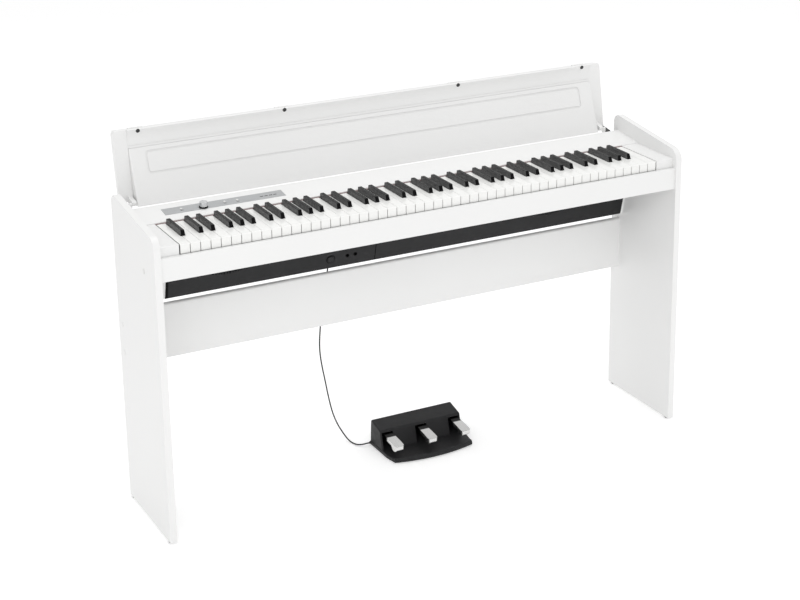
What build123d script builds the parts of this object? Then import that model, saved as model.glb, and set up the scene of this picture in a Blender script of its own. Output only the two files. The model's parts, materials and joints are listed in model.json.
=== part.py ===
from build123d import *
import math
import os

# A digital piano on its own stand, with the folding key cover open and a free pedal unit on the
# floor. X runs to the player's right and Z up. While the parts are drawn, Y starts at the front
# edge of the side panels; save() then moves the origin to the middle of the depth.

# ---------------------------------------------------------------- driving dimensions (mm)
PANEL_INNER = 660.0        # half the distance between the side panels
PANEL_THICK = 16.0
PANEL_DEPTH = 274.0
PANEL_BOTTOM = 3.0         # the panels stand on thin glides
PANEL_TOP_FRONT = (40.0, 717.5)
PANEL_TOP_REAR = (255.0, 743.2)

SLIP_FRONT, SLIP_REAR = 5.5, 16.0
SLIP_BOTTOM, SLIP_TOP = 615.0, 667.7
BED_THICK = 16.0
BED_TOP = SLIP_BOTTOM + BED_THICK

KEY_FRONT = 16.6
KEY_TOP, KEY_BOTTOM = 690.0, 668.0
KEY_PITCH = 23.5
WHITE_KEYS = 52
KEY_GAP = 0.8
KEY_PLATE = 3.0            # the top plate of a white key, wider than the body below it
HEAD_LENGTH = 49.3         # the wide front of a white key
VISIBLE_END = 164.0        # behind this line the keys are lower and run under the deck
TAIL_TOP = 685.0
TAIL_STEP = 172.0          # behind this line the tails are narrower
KEY_END = 236.0
PIVOT_Y, PIVOT_Z = 226.0, 674.0
AXLE_RADIUS = 1.5
RUNNING_GAP = 0.05
BLACK_WIDTH, BLACK_TOP, BLACK_FRONT, BLACK_END = 10.6, 702.0, 66.9, 161.0
BLACK_SHIFT = {"C": -2.0, "D": 2.0, "F": -3.0, "G": 0.0, "A": 3.0}
WHITE_NAMES = "ABCDEFG"

DECK_FRONT, DECK_STEP = 169.0, 256.0
DECK_FRONT_TOP, DECK_SLOPE = 692.6, 0.1346
LEDGE_TOP = 696.0                   # behind the step the deck is flat and lower
DECK_THICK = 4.0
CHEEK_INNER = 613.3
CHEEK_TOP = 690.5

SLANT_TOP = (195.0, 615.0)          # front face of the speaker box, in Y and Z
SLANT_BOTTOM = (229.155, 488.0)
BOX_REAR = 262.0
BOX_WALL = 3.0
BOX_LEFT, BOX_RIGHT = -579.0, 655.0 # white blocks fill the rest up to the side panels
SEAM_X = -50.2

BOARD_FRONT, BOARD_REAR = 238.0, 253.0
BOARD_BOTTOM, BOARD_TOP = 341.0, 473.0

LID_PIVOT = (277.0, 707.5)
LID_LEAN = 9.0             # degrees that the open cover leans back
LID_HALF = 647.0
LID_LENGTH = 165.5
SKIN, BOARD_FACE = 38.0, 26.0        # distances behind the pivot line
LIP_FACE = 16.0
CORNER_ROUND = 9.0         # the open cover's upper corners
MUSIC_HALF = 613.5
MUSIC_START, MUSIC_END = (-8.0, -1.6), (122.0, 24.4)
FOLD = (165.8, 38.5)
FLAP_HALF, FLAP_LIP_HALF = 640.0, 630.0
FLAP_END = 272.5
FLAP_LIP = 8.0
FLAP_LIP_END = -5.5
LIP_ROUND = 1.5
FOLD_STATIONS = (-589.0, -231.0, 231.0, 589.0)

PEDAL_MIDDLE = 47.0
PEDAL_SPACING = 92.0
UNIT_HALF = 113.0
UNIT_FRONT, UNIT_REAR = 100.0, 244.0
PEDAL_PIVOT = (214.0, 40.0)
PEDAL_AXLE_RADIUS = 3.0
PEDAL_TIP = 118.0          # Y of the pedals' rounded front ends

CORD_RADIUS = 1.75
CORD_ROUTE = [
    (-135.0, 281.5, 500.0), (-135.0, 291.5, 500.0), (-135.5, 301.0, 494.5), (-136.0, 306.5, 485.0),
    (-137.0, 307.0, 470.5), (-141.0, 304.5, 446.0), (-151.0, 298.5, 408.0), (-163.5, 291.5, 361.0),
    (-172.5, 286.0, 314.0), (-177.0, 284.0, 266.0), (-173.0, 283.5, 224.0), (-164.5, 283.5, 178.0),
    (-156.5, 284.5, 132.0), (-146.0, 286.5, 86.0), (-132.5, 288.5, 51.0), (-120.0, 289.0, 28.0),
    (-112.0, 287.5, 14.0), (-107.2, 282.0, 5.8), (-104.3, 272.0, 2.5), (-101.5, 259.5, 2.4),
    (-97.0, 249.0, 3.2), (-90.0, 241.0, 5.0), (-81.0, 237.0, 7.0), (-71.0, 237.0, 7.0),
]
GLAND_AT = (237.0, 7.0)    # Y and Z of the gland in the pedal unit's left wall


# ---------------------------------------------------------------- helpers
def panel_top(y):
    """Height of the side panels' sloping top edge above the place y."""
    (y0, z0), (y1, z1) = PANEL_TOP_FRONT, PANEL_TOP_REAR
    return z0 + (z1 - z0) * (y - y0) / (y1 - y0)


def deck_top(y):
    """Height of the sloping top deck at y."""
    return DECK_FRONT_TOP + DECK_SLOPE * (y - DECK_FRONT)


def box(x0, x1, y0, y1, z0, z1):
    """A block between two corners."""
    block = Box(x1 - x0, y1 - y0, z1 - z0)
    return Pos((x0 + x1) / 2, (y0 + y1) / 2, (z0 + z1) / 2) * block


def prism(outline, x0, x1, radii=0.0):
    """A solid with a (y, z) outline, drawn along X. radii rounds all corners, or one each."""
    wire = FilletPolyline(*outline, radius=radii, close=True)
    section = Plane.YZ.offset(x0) * make_face(wire)
    return extrude(section, amount=x1 - x0)


def rod_x(radius, x0, x1, y, z):
    """A cylinder along X."""
    return Pos((x0 + x1) / 2, y, z) * Rot(0, 90, 0) * Cylinder(radius, x1 - x0)


def both_sides(shape):
    """The shape and its mirror image in the middle plane."""
    return [shape, mirror(shape, about=Plane.YZ)]


def save(name, *solids):
    """Writes one node, with the origin moved to the middle of the depth."""
    pieces = []
    for solid in solids:
        pieces += [Pos(0, -Y_MIDDLE, 0) * piece for piece in solid.solids()]
    shape = pieces[0] if len(pieces) == 1 else Compound(children=pieces)
    export_step(shape, f"parts/{name}.step")


def lid_yz(s, t):
    """Y and Z of a point of the open cover: s up along it from the pivot, t behind the pivot line."""
    lean = math.radians(LID_LEAN)
    y = LID_PIVOT[0] + s * math.sin(lean) + t * math.cos(lean)
    z = LID_PIVOT[1] + s * math.cos(lean) - t * math.sin(lean)
    return y, z


def lid_prism(outline, x0, x1, radii=0.0):
    """A prism whose outline is in the cover's own s and t."""
    return prism([lid_yz(s, t) for s, t in outline], x0, x1, radii)


def lid_rod(radius, x0, x1, s, t):
    """A cylinder along X at a place of the cover."""
    return rod_x(radius, x0, x1, *lid_yz(s, t))


def folded(s, t):
    """Where a point of the flap lies once it is folded back over the cover."""
    return 2 * FOLD[0] - s, 2 * FOLD[1] - t


LIP_TIP = folded(FLAP_END - FLAP_LIP, FLAP_LIP_END)          # the rearmost corner, before rounding
Y_MIDDLE = (lid_yz(LIP_TIP[0] - LIP_ROUND, LIP_TIP[1] - LIP_ROUND)[0] + LIP_ROUND) / 2
DECK_PLANE = Plane(
    origin=(0, DECK_FRONT, DECK_FRONT_TOP), x_dir=(1, 0, 0),
    z_dir=(0, -DECK_SLOPE, 1),
)
SLANT_PLANE = Plane(
    origin=(0, *SLANT_TOP), x_dir=(1, 0, 0),
    z_dir=(0, SLANT_BOTTOM[1] - SLANT_TOP[1], SLANT_TOP[0] - SLANT_BOTTOM[0]),
)


# ---------------------------------------------------------------- stand
SCREW_PLACES = [(72.0, 623.0), (245.0, 439.0), (245.0, 371.0)]
CAP_RADIUS, CAP_DEPTH = 6.5, 5.0
SHANK_RADIUS, SHANK_LENGTH = 2.5, 38.0
SCREW_HEAD_RADIUS = 4.6


def side_panel():
    """The right-hand side panel, with rounded top corners and counterbored screw holes."""
    outline = [
        (0, PANEL_BOTTOM), (0, panel_top(0)), (PANEL_DEPTH, panel_top(PANEL_DEPTH)),
        (PANEL_DEPTH, PANEL_BOTTOM),
    ]
    panel = prism(outline, PANEL_INNER, PANEL_INNER + PANEL_THICK, [0.8, 29.0, 20.0, 0.8])
    outer = panel.faces().sort_by(Axis.X)[-1]
    panel = chamfer(outer.edges(), 0.7)
    for y, z in SCREW_PLACES:
        outside = PANEL_INNER + PANEL_THICK
        panel -= rod_x(CAP_RADIUS, outside - CAP_DEPTH, outside + 1, y, z)
        panel -= rod_x(SHANK_RADIUS, PANEL_INNER - 1, outside, y, z)
    return panel


def screws():
    """Confirmat screws through the right-hand panel, each with its cap over the head."""
    outside = PANEL_INNER + PANEL_THICK
    seat = outside - CAP_DEPTH
    made = []
    for y, z in SCREW_PLACES:
        shank = rod_x(SHANK_RADIUS, seat - SHANK_LENGTH, seat, y, z)
        head = rod_x(SCREW_HEAD_RADIUS, seat, seat + 2.5, y, z)
        cap = rod_x(CAP_RADIUS, seat + 2.5, outside + 0.6, y, z)
        made.append(shank + head + cap)
    return made


def panel_glides():
    """Four black plastic glides under the panels."""
    made = []
    for y in (14.0, PANEL_DEPTH - 16.0):
        x = PANEL_INNER + PANEL_THICK / 2
        foot = Pos(x, y, PANEL_BOTTOM / 2) * Cylinder(7.5, PANEL_BOTTOM)
        made += both_sides(chamfer(foot.edges().group_by(Axis.Z)[0], 0.8))
    return made


def rear_board():
    """The board that braces the two panels, drilled for its screws."""
    board = box(-PANEL_INNER, PANEL_INNER, BOARD_FRONT, BOARD_REAR, BOARD_BOTTOM, BOARD_TOP)
    long_edges = board.edges().filter_by(Axis.X).sort_by(Axis.Z)
    board = chamfer(long_edges[:2], 0.8)
    board = fillet(board.edges().filter_by(Axis.X).group_by(Axis.Z)[-1], 6.0)
    for y, z in SCREW_PLACES[1:]:
        for hole in both_sides(rod_x(SHANK_RADIUS, PANEL_INNER - 30, PANEL_INNER + 1, y, z)):
            board -= hole
    return board


# ---------------------------------------------------------------- key bed and case
def keybed():
    """The board under the keys, drilled for the panel screws."""
    bed = box(-PANEL_INNER, PANEL_INNER, SLIP_REAR, PANEL_DEPTH, SLIP_BOTTOM, BED_TOP)
    y, z = SCREW_PLACES[0]
    for hole in both_sides(rod_x(SHANK_RADIUS, PANEL_INNER - 30, PANEL_INNER + 1, y, z)):
        bed -= hole
    return bed


def key_slip():
    """The long rail in front of the keys."""
    rail = box(-PANEL_INNER, PANEL_INNER, SLIP_FRONT, SLIP_REAR, SLIP_BOTTOM, SLIP_TOP)
    front_edges = rail.edges().filter_by(Axis.X).group_by(Axis.Y)[0]
    return fillet(front_edges, 1.6)


def cheek_block():
    """The block between the last key and the right-hand panel."""
    block = box(CHEEK_INNER, PANEL_INNER, KEY_FRONT, DECK_FRONT, BED_TOP, CHEEK_TOP)
    front_top = block.edges().filter_by(Axis.X).group_by(Axis.Z)[-1].sort_by(Axis.Y)[0]
    return fillet(front_top, 1.6)


def deck_outline(thick):
    """The section of the sloping top deck with the lower ledge behind it."""
    inner = DECK_STEP - thick
    return [
        (DECK_FRONT, DECK_FRONT_TOP), (DECK_STEP, deck_top(DECK_STEP)), (DECK_STEP, LEDGE_TOP),
        (PANEL_DEPTH, LEDGE_TOP), (PANEL_DEPTH, LEDGE_TOP - thick), (inner, LEDGE_TOP - thick),
        (inner, deck_top(inner) - thick), (DECK_FRONT, DECK_FRONT_TOP - thick),
    ]


ARM_X0, ARM_X1 = 617.0, 627.0        # where the cover's pivot arms run
BRACKET_X1 = 634.0


STRIP_X0, STRIP_X1 = -576.5, -286.5
STRIP_FRONT, STRIP_DEPTH, STRIP_THICK = 29.5, 31.0, 1.0     # along the deck from its front edge
KNOB_AT = (-484.0, 38.5)
BUTTONS_AT = [(-534.5, 46.0), (-430.8, 46.0), (-400.7, 44.5)]
KNOB_RADIUS, KNOB_HEIGHT, STEM_RADIUS = 9.0, 12.6, 3.0
BUTTON_RADIUS, BUTTON_PROUD = 3.2, 1.6
PANEL_BOARD_Z = -8.2         # underside of the board below the deck


def deck_holes(clearance):
    """The holes for the knob's stem and the buttons, in the deck's own plane."""
    holes = [Pos(*KNOB_AT, 0) * Cylinder(STEM_RADIUS + clearance, 20)]
    for place in BUTTONS_AT:
        holes.append(Pos(*place, 0) * Cylinder(BUTTON_RADIUS + clearance, 20))
    return [DECK_PLANE * hole for hole in holes]


def top_deck():
    """The panel behind the keys."""
    radii = [0.8, 1.0, 0, 0, 0, 0, 0, 0]
    deck = prism(deck_outline(DECK_THICK), -PANEL_INNER, PANEL_INNER, radii)
    for cut in deck_holes(0.4):
        deck -= cut
    return deck


def rear_cover():
    """The upright that closes the case behind the keys."""
    top = LEDGE_TOP - DECK_THICK - 0.6
    return box(-PANEL_INNER, PANEL_INNER, PANEL_DEPTH - 4, PANEL_DEPTH, BED_TOP, top)


def control_strip():
    """The thin metal strip that carries the knob and the buttons, with three small lenses' holes."""
    x, y = (STRIP_X0 + STRIP_X1) / 2, STRIP_FRONT + STRIP_DEPTH / 2
    plate = Pos(x, y, STRIP_THICK / 2) * Box(STRIP_X1 - STRIP_X0, STRIP_DEPTH, STRIP_THICK)
    strip = DECK_PLANE * chamfer(plate.edges().group_by(Axis.Z)[-1], 0.3)
    for hole in deck_holes(0.3):
        strip -= hole
    return strip


def volume_knob():
    """A turned knob with a grip ring, a pointer notch and its stem through the deck."""
    cap = Pos(0, 0, STRIP_THICK + 0.4 + KNOB_HEIGHT / 2) * Cylinder(KNOB_RADIUS, KNOB_HEIGHT)
    cap = fillet(cap.edges().group_by(Axis.Z)[-1], 0.6)
    for k in range(24):
        turn = Rot(0, 0, 15 * k)
        cap -= turn * Pos(KNOB_RADIUS + 0.2, 0, 5.2) * Cylinder(0.6, 6.0)
    cap -= Pos(0, 5.5, STRIP_THICK + 0.4 + KNOB_HEIGHT) * Box(0.9, 5.0, 0.8)
    stem = Pos(0, 0, -3.0) * Cylinder(STEM_RADIUS, 9.5)
    return DECK_PLANE * Pos(*KNOB_AT, 0) * (cap + stem)


def panel_button(place):
    """A round push button with its stem through the deck."""
    rise = STRIP_THICK + BUTTON_PROUD
    button = Pos(0, 0, (rise - 5.5) / 2) * Cylinder(BUTTON_RADIUS, rise + 5.5)
    button = fillet(button.edges().group_by(Axis.Z)[-1], 0.6)
    return DECK_PLANE * Pos(*place, 0) * button


def key_felt():
    """The felt line in front of the deck, above the keys' tails."""
    y0, y1 = VISIBLE_END + 1.4, DECK_FRONT
    return box(-CHEEK_INNER, CHEEK_INNER, y0, y1, TAIL_TOP + 1.2, KEY_TOP + 0.2)


# ---------------------------------------------------------------- keys
def key_left(k):
    """X of the left side of white key k's pitch."""
    return (k - WHITE_KEYS / 2) * KEY_PITCH


def white_name(k):
    return WHITE_NAMES[k % 7]


def black_centre(k):
    """X of the black key between white keys k and k + 1, or None."""
    if white_name(k) not in BLACK_SHIFT or k < 0 or k + 1 >= WHITE_KEYS:
        return None
    return key_left(k + 1) + BLACK_SHIFT[white_name(k)]


def white_tail(k):
    """The two sides of the narrow part of white key k."""
    left, right = key_left(k) + KEY_GAP / 2, key_left(k + 1) - KEY_GAP / 2
    before, after = black_centre(k - 1), black_centre(k)
    room = BLACK_WIDTH / 2 + 0.8
    if before is not None:
        left = before + room
    if after is not None:
        right = after - room
    return left, right


def white_key(k):
    """A white key: wide head, narrow tail, hollow underside and pivot bore."""
    left, right = key_left(k) + KEY_GAP / 2, key_left(k + 1) - KEY_GAP / 2
    tail_left, tail_right = white_tail(k)
    head_end = KEY_FRONT + HEAD_LENGTH
    key = box(left, right, KEY_FRONT, head_end, KEY_BOTTOM, KEY_TOP)
    key += box(tail_left, tail_right, head_end, TAIL_STEP, KEY_BOTTOM, KEY_TOP)
    key += box(tail_left + 1.2, tail_right - 1.2, TAIL_STEP, KEY_END, KEY_BOTTOM, KEY_TOP)
    top = key.edges().group_by(Axis.Z)[-1]
    head_edges = [e for e in top if e.center().Y < head_end - 5]
    key = fillet(head_edges, 0.8)
    key -= box(left - 1, right + 1, VISIBLE_END, KEY_END + 1, TAIL_TOP, KEY_TOP + 1)
    key -= box(tail_left + 2.2, tail_right - 2.2, KEY_FRONT + 4, 205, KEY_BOTTOM - 1, KEY_TOP - 8)
    below = (KEY_BOTTOM - 1, KEY_TOP - KEY_PLATE)
    key -= box(left - 1, right + 1, KEY_FRONT - 1, KEY_FRONT + 1.0, *below)
    for side in (left, right):
        key -= box(side - 0.5, side + 0.5, KEY_FRONT - 1, head_end - 2.0, *below)
    return key - rod_x(AXLE_RADIUS + RUNNING_GAP, left - 1, right + 1, PIVOT_Y, PIVOT_Z)


def black_key(k):
    """The black key to the right of white key k: tapered cap on a narrow body."""
    x = black_centre(k)
    half = BLACK_WIDTH / 2
    body = box(x - half, x + half, BLACK_FRONT, VISIBLE_END - 1.0, KEY_BOTTOM, KEY_TOP - 2)
    tail = box(x - half + 1.2, x + half - 1.2, VISIBLE_END - 2, KEY_END, KEY_BOTTOM, TAIL_TOP)
    length = BLACK_END - BLACK_FRONT
    foot = Pos(x, BLACK_FRONT + length / 2, KEY_TOP - 2) * Rectangle(BLACK_WIDTH, length)
    cap = extrude(foot, amount=BLACK_TOP - KEY_TOP + 2, taper=3.6)
    slope = [
        (BLACK_FRONT, KEY_TOP - 3), (BLACK_FRONT, KEY_TOP - 1), (BLACK_FRONT + 4.5, BLACK_TOP),
        (BLACK_END + 1, BLACK_TOP), (BLACK_END + 1, KEY_TOP - 3),
    ]
    cap &= prism(slope, x - 8, x + 8, [0, 0, 2.5, 0, 0])
    top = cap.faces().sort_by(Axis.Z)[-1]
    cap = fillet([e for e in top.edges() if e.center().Y > BLACK_FRONT + 8], 1.0)
    key = body + tail + cap
    return key - rod_x(AXLE_RADIUS + RUNNING_GAP, x - 8, x + 8, PIVOT_Y, PIVOT_Z)


OCTAVE_START = 23                    # white key number of the middle C
FRAME_SUPPORTS = [k for k in range(WHITE_KEYS) if white_name(k) == "C"]


def key_frame():
    """Pressed frame under the keys, with a rest rail at the front and plates for the pivot rod."""
    half = WHITE_KEYS * KEY_PITCH / 2
    frame = box(-half, half, 28, 240, BED_TOP, BED_TOP + 2)
    frame += box(-half, half, 30, 46, BED_TOP + 2, 655)
    frame += box(-half, half, 212, 240, BED_TOP + 2, 664)
    plates = [key_left(k) for k in FRAME_SUPPORTS]
    for x in plates:
        frame += box(x - 0.8, x + 0.8, PIVOT_Y - 4, PIVOT_Y + 4, 663, 680)
    for x in (-half - 0.5, half + 0.5):
        frame += box(x - 0.4, x + 0.4, PIVOT_Y - 5, PIVOT_Y + 5, BED_TOP, 681)
        frame += box(x - 0.6, x + 0.6, PIVOT_Y - 5, PIVOT_Y + 5, BED_TOP, BED_TOP + 2)
    return frame - rod_x(AXLE_RADIUS, -half - 3, half + 3, PIVOT_Y, PIVOT_Z)


def key_axle():
    half = WHITE_KEYS * KEY_PITCH / 2 + 1.0
    return rod_x(AXLE_RADIUS, -half, half, PIVOT_Y, PIVOT_Z)


# ---------------------------------------------------------------- speaker box
POWER_AT = (-167.7, 511.7)           # X and Z on the slanted face
JACKS_AT = [(-124.4, 514.0), (-103.5, 514.4)]
POWER_RADIUS = 9.0
JACK_RADIUS = 3.2
JACK_LENGTH = 16.0
SPEAKER_X, SPEAKER_Z = 430.0, 556.0
SPEAKER_RADIUS = 42.0


def on_slant(x, z, shape):
    """The shape with its base on the slanted face and its axis square to it."""
    down = (SLANT_TOP[1] - z) / (SLANT_TOP[1] - SLANT_BOTTOM[1])
    run = math.dist(SLANT_TOP, SLANT_BOTTOM) * down
    return SLANT_PLANE * Pos(x, run_sign() * run, 0) * shape


def run_sign():
    """Which way the slanted plane's own Y runs: down the face, or up it."""
    return 1.0 if SLANT_PLANE.y_dir.Z < 0 else -1.0


def front_strip(x0, x1):
    """One half of the slanted front, with slots in front of its speaker."""
    (y0, z0), (y1, z1) = SLANT_TOP, SLANT_BOTTOM
    run = math.dist(SLANT_TOP, SLANT_BOTTOM)
    side, back = (z0 - z1) / run * BOX_WALL, (y1 - y0) / run * BOX_WALL
    outline = [(y0, z0), (y1, z1), (y1 + side, z1 + back), (y0 + BOX_WALL * run / (z0 - z1), z0)]
    strip = prism(outline, x0, x1)
    middle = SPEAKER_X if x0 > SEAM_X else -SPEAKER_X
    for k in range(-6, 7):
        slot = Box(3.0, 66.0 - abs(k) * 2.0, 12.0)
        strip -= on_slant(middle + 7.0 * k, SPEAKER_Z, slot)
    return strip


def left_strip():
    """The half with the power button and the headphone sockets."""
    strip = front_strip(BOX_LEFT, SEAM_X - 0.3)
    strip -= on_slant(*POWER_AT, Cylinder(POWER_RADIUS + 0.4, 20))
    for place in JACKS_AT:
        strip -= on_slant(*place, Cylinder(4.6, 20))
    return strip


def power_button():
    """A round dished button, 2 mm proud of the front."""
    cap = Pos(0, 0, -2.0) * Cylinder(POWER_RADIUS, 8.0)
    cap = fillet(cap.edges().group_by(Axis.Z)[-1], 0.9)
    cap -= Pos(0, 0, 2.0 + 28.0) * Sphere(28.8)
    stem = Pos(0, 0, -9.0) * Cylinder(4.0, 7.0)
    return on_slant(*POWER_AT, cap + stem)


def jack_socket(place):
    """A headphone socket: threaded barrel with a bore, on a square body."""
    barrel = Pos(0, 0, 1.0 - 5.0) * Cylinder(4.5, 10.0)
    body = Pos(0, 0, -9.0 - 5.5) * Box(12.0, 14.0, 11.0)
    bore = Pos(0, 0, 1.0 - JACK_LENGTH / 2) * Cylinder(JACK_RADIUS, JACK_LENGTH)
    return on_slant(*place, barrel + body - bore)


PEDAL_JACK = (-135.0, 500.0)         # X and Z on the rear wall
POWER_INLET = (-330.0, 500.0)
INLET_RADIUS = 2.8
SOCKET_WALL = 3.0
BOX_END = 4.0                        # thickness of the tray's end walls


def rear_socket(x, z, radius, length):
    """A round socket that looks out of the rear wall, with its bore."""
    turn = Pos(x, BOX_REAR, z) * Rot(-90, 0, 0)
    socket = Pos(0, 0, -7.0) * Cylinder(radius + SOCKET_WALL, 14.0) + Pos(0, 0, -9.0) * Box(16, 16, 10)
    return turn * (socket - Pos(0, 0, 0.5 - length / 2) * Cylinder(radius, length))


def speaker_housing():
    """The open tray behind the strips: floor, rear wall and end walls."""
    (y0, z0), (y1, z1) = SLANT_TOP, SLANT_BOTTOM
    floor = box(BOX_LEFT, BOX_RIGHT, y1 + BOX_WALL, BOX_REAR, z1, z1 + BOX_WALL)
    rear = box(BOX_LEFT, BOX_RIGHT, BOX_REAR - BOX_WALL, BOX_REAR, z1, z0)
    shift = BOX_WALL * 1.05
    section = [(y0 + shift, z0), (y1 + shift, z1), (BOX_REAR, z1), (BOX_REAR, z0)]
    for x in (BOX_LEFT, BOX_RIGHT - BOX_END):
        end = prism(section, x, x + BOX_END)
        floor += end - box(-700, 700, 0, y1 + BOX_WALL, z1 - 1, z1 + BOX_WALL)
    tray = floor + rear
    for x, z, bore in ((*PEDAL_JACK, JACK_RADIUS), (*POWER_INLET, INLET_RADIUS)):
        tray -= Pos(x, BOX_REAR, z) * Rot(90, 0, 0) * Cylinder(bore + SOCKET_WALL, 12.0)
    return tray


def box_end_block(x0, x1):
    """A white block between one end of the speaker box and the side panel."""
    outline = [SLANT_TOP, SLANT_BOTTOM, (BOX_REAR, SLANT_BOTTOM[1]), (BOX_REAR, SLANT_TOP[1])]
    return prism(outline, x0, x1, [0, 0.8, 0.8, 0])


def speaker(x):
    """A driver behind the slotted front: basket ring, cone and magnet."""
    profile = Polyline(
        (0, -26.0), (18.0, -26.0), (18.0, -18.0), (30.0, -12.0), (SPEAKER_RADIUS, -4.5),
        (SPEAKER_RADIUS, -3.0), (36.0, -3.0), (12.0, -9.0), (0, -7.0), close=True,
    )
    driver = revolve(Plane.XZ * make_face(profile), axis=Axis.Z)
    return on_slant(x, SPEAKER_Z, driver)


def main_board():
    """The circuit board in the speaker box, with a few components and two spacers."""
    board = box(-90.0, 190.0, 240.0, 241.6, 500.0, 596.0)
    for x in (-60.0, 20.0, 80.0):
        board += box(x, x + 22.0, 241.6, 246.0, 530.0, 552.0)
    for x in (-80.0, 180.0):
        board += box(x - 4, x + 4, 241.6, BOX_REAR - BOX_WALL, 575.0, 583.0)
    return board


def panel_board():
    """The board under the control strip, with the volume control's bush and four spacers."""
    x0, x1 = STRIP_X0 + 16.0, STRIP_X1 - 10.0
    board = Pos((x0 + x1) / 2, 44.0, PANEL_BOARD_Z + 0.6) * Box(x1 - x0, 22.0, 1.2)
    bush = Pos(*KNOB_AT, PANEL_BOARD_Z + 2.4) * Box(11.0, 11.0, 2.4)
    bush += Pos(*KNOB_AT, PANEL_BOARD_Z + 0.6) * Box(11.0, 11.0, 1.2)
    board += bush
    for x in (x0 + 4, x1 - 4):
        for y in (36.0, 52.0):
            rise = -DECK_THICK - PANEL_BOARD_Z
            board += Pos(x, y, PANEL_BOARD_Z + rise / 2) * Cylinder(2.0, rise)
    board -= Pos(*KNOB_AT, -8) * Cylinder(STEM_RADIUS + RUNNING_GAP, 20)
    return DECK_PLANE * board


# ---------------------------------------------------------------- key cover
CAP_S, CAP_T, CAP_TILT = 160.5, 18.16, 23.4       # on the upper, straight part of the cove
CAP_HEIGHT = 2.0                                  # half of it is sunk in the board


def cap_place(x):
    """The place of one screw cap, with Z square to the lip's face."""
    return Pos(x, *lid_yz(CAP_S, CAP_T)) * Rot(90 - LID_LEAN + CAP_TILT, 0, 0)


def pocket_end():
    """Where the pocket for the music panel ends, up along the cover."""
    return MUSIC_END[0] + 0.3


def lid_silhouette():
    """A tall block with rounded upper corners, that gives the board its outline."""
    lean = math.radians(LID_LEAN)
    height = LID_LENGTH + 60.0
    y, z = lid_yz(LID_LENGTH - height / 2, 0)
    face = Plane(origin=(0, y, z), x_dir=(1, 0, 0), z_dir=(0, -math.cos(lean), math.sin(lean)))
    return face * extrude(RectangleRounded(2 * LID_HALF, height, CORNER_ROUND), amount=60.0, both=True)


def lid_board():
    """The rear section of the cover: a board with a lip at its far edge and two pivot arms."""
    plain = [(2.0, BOARD_FACE), (LID_LENGTH, BOARD_FACE), (LID_LENGTH, SKIN), (2.0, SKIN)]
    board = lid_prism(plain, -LID_HALF, LID_HALF, [1.0, 1.5, 1.5, 1.5]) & lid_silhouette()
    cove = [
        (pocket_end(), BOARD_FACE + 2), (pocket_end(), BOARD_FACE - 0.8), (130.0, BOARD_FACE - 1.2),
        (141.0, BOARD_FACE - 2.0), (153.0, BOARD_FACE - 4.6), (LID_LENGTH, LIP_FACE),
        (LID_LENGTH, BOARD_FACE + 2),
    ]
    board += lid_prism(cove, -MUSIC_HALF, MUSIC_HALF, [0, 0.4, 10.0, 60.0, 60.0, 1.5, 0])
    pocket = lid_prism([(1.0, 20.0), (pocket_end(), 20.0), (pocket_end(), 33.2), (1.0, 33.2)],
                       -MUSIC_HALF - 0.3, MUSIC_HALF + 0.3)
    board -= pocket
    board -= lid_prism([(127.6, 20.0), (129.2, 20.0), (129.2, BOARD_FACE - 0.1),
                        (127.6, BOARD_FACE - 0.1)], -MUSIC_HALF - 1, MUSIC_HALF + 1)
    arm = lid_prism([(-4.5, -3.0), (5.0, -4.5), (16.0, BOARD_FACE), (16.0, BOARD_FACE + 3),
                     (2.5, BOARD_FACE + 3), (-4.5, 5.0)], ARM_X0, ARM_X1, [4, 4, 0, 0, 0, 3])
    for piece in both_sides(arm):
        board += piece
    board -= lid_rod(PIVOT_PIN + RUNNING_GAP, -ARM_X1 - 1, -ARM_X0 + 1, 0, 0)
    board -= lid_rod(PIVOT_PIN + RUNNING_GAP, ARM_X0 - 1, ARM_X1 + 1, 0, 0)
    for x in FOLD_STATIONS:
        board -= cap_place(x) * Cylinder(4.7, CAP_HEIGHT)
        board -= fold_notch(x)
        board -= fold_leaf(x, LEAF_START, FOLD[0] - 1.8, SKIN - 1.6, SKIN + 0.2)
    return board


PIVOT_PIN = 2.5
KNUCKLE, FOLD_PIN = 2.1, 1.0
NOTCH_HALF = 19.0
LEAF_START = FOLD[0] - 22.3
LEAF_END = FOLD[0] - 3.5  # the leaves' plain part ends clear of the other half's knuckles


def fold_notch(x):
    """Room for one fold hinge's knuckles."""
    return lid_rod(KNUCKLE + 0.6, x - NOTCH_HALF, x + NOTCH_HALF, *FOLD)


def fold_leaf(x, s0, s1, t0, t1):
    """A hinge leaf, or the pocket for it."""
    outline = [(s0, t0), (s1, t0), (s1, t1), (s0, t1)]
    return lid_prism(outline, x - NOTCH_HALF + 1, x + NOTCH_HALF - 1)


def lid_hinge_half(x):
    """The cover's half of a fold hinge: leaf, two outer knuckles and the pin."""
    s, t = FOLD
    leaf = fold_leaf(x, LEAF_START, LEAF_END, SKIN - 1.6, SKIN)
    for x0 in (x - 17.0, x + 7.5):
        tab = [(LEAF_END - 1, SKIN - 1.6), (s, SKIN - 1.6), (s, SKIN), (LEAF_END - 1, SKIN)]
        leaf += lid_prism(tab, x0, x0 + 9.5)
    for x0 in (x - 17.0, x + 7.5):
        leaf += lid_rod(KNUCKLE, x0, x0 + 9.5, s, t)
    return leaf + lid_rod(FOLD_PIN, x - 17.0, x + 17.0, s, t)


def flap_hinge_half(x):
    """The flap's half of a fold hinge: leaf and middle knuckle."""
    s, t = FOLD
    low = 2 * t - SKIN
    leaf = fold_leaf(x, LEAF_START, LEAF_END, low, low + 1.6)
    tab = [(LEAF_END - 1, low), (s, low), (s, low + 1.6), (LEAF_END - 1, low + 1.6)]
    leaf += lid_prism(tab, x - 7.0, x + 7.0)
    knuckle = lid_rod(KNUCKLE, x - 7.0, x + 7.0, s, t)
    return leaf + knuckle - lid_rod(FOLD_PIN + RUNNING_GAP, x - 20, x + 20, s, t)


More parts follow.
